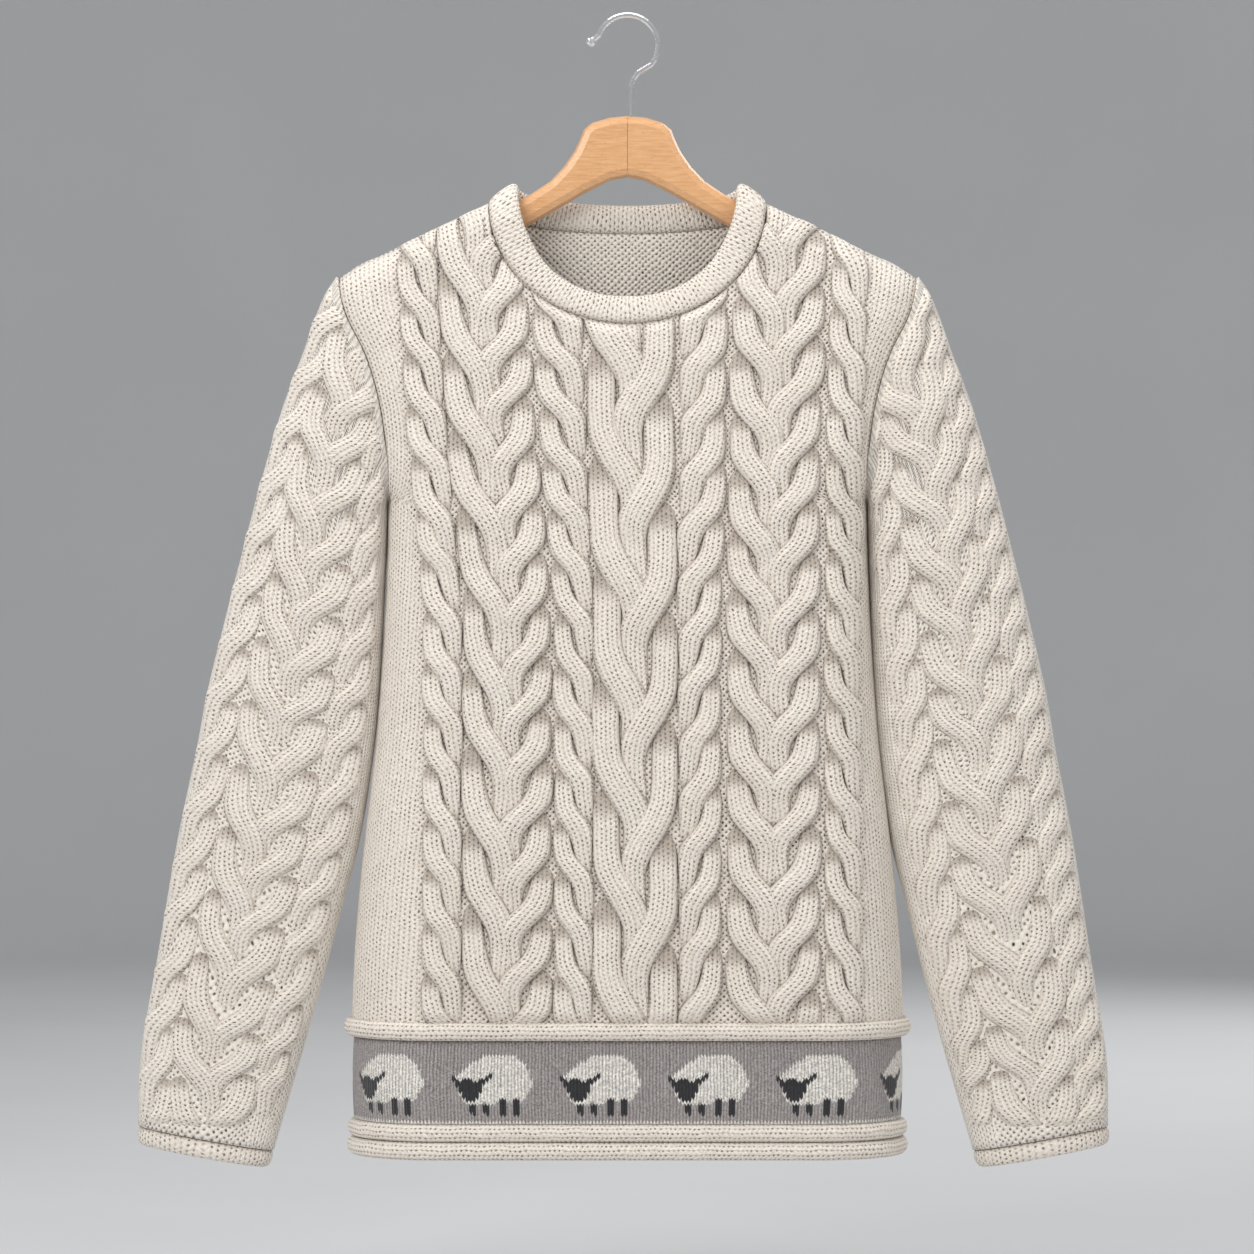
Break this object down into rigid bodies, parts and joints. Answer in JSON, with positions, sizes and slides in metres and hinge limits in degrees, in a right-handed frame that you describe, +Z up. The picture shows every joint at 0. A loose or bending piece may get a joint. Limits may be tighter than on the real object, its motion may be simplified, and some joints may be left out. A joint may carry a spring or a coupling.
{
  "type": "cable-knit sweater on a wooden hanger",
  "caption": "Cream cable-knit sweater with a ribbed crew neck, a grey sheep-pattern band over a rolled hem and rolled cuffs, hanging flat on a beech hanger with a wire hook.",
  "frame": {"origin": "inner top of the hook, where a rail or rod carries the hanger", "axes": "+Z up, +X to the viewer's right across the garment, -Y out of its front"},
  "size_m": [0.7058, 0.1194, 0.8374],
  "materials": {
    "cream_knit": "matte cream wool marl, cable knit",
    "grey_knit": "matte grey melange wool with a knitted-in sheep repeat",
    "beech": "clear satin varnish",
    "chromed_wire": "polished chrome plating"
  },
  "bodies": {
    "root": {"front_panel": "cream_knit", "back_panel": "cream_knit", "left_sleeve": "cream_knit", "right_sleeve": "cream_knit", "left_cuff": "cream_knit", "right_cuff": "cream_knit", "neckband": "cream_knit", "sheep_band": "grey_knit", "hem_border": "cream_knit", "hanger_left": "beech", "hanger_right": "beech", "hook": "chromed_wire"}
  },
  "joints": []
}
